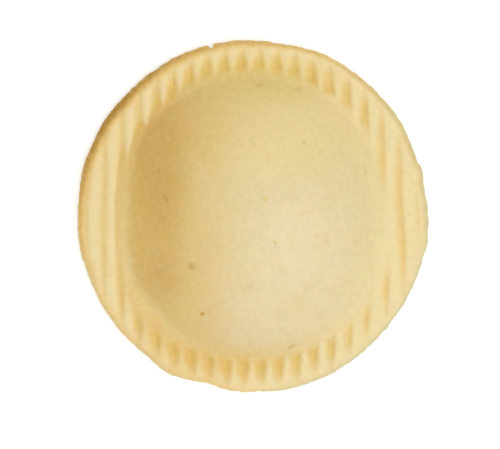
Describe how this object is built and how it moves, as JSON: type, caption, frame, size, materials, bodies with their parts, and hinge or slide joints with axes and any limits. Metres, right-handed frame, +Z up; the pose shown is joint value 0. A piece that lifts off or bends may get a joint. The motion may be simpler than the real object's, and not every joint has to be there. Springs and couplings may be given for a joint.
{
  "type": "round filled pasta",
  "caption": "Round filled pasta: a domed dough sheet with a rim pressed into parallel ribs, sealed to a flat dough sheet over a soft cheese filling.",
  "frame": {"origin": "centre of the flat underside", "axes": "+Z up through the dome, +Y along the rim's ribs, +X across the ribs"},
  "size_m": [0.0609, 0.0609, 0.012],
  "materials": {
    "egg_dough": "matt fresh egg dough, lightly floured",
    "soft_cheese": "moist, fine-grained soft cheese",
    "bran": "dull brown flakes"
  },
  "bodies": {
    "root": {"bottom_sheet": "egg_dough", "top_sheet": "egg_dough", "cheese_filling": "soft_cheese", "bran_flecks": "bran"}
  },
  "joints": []
}
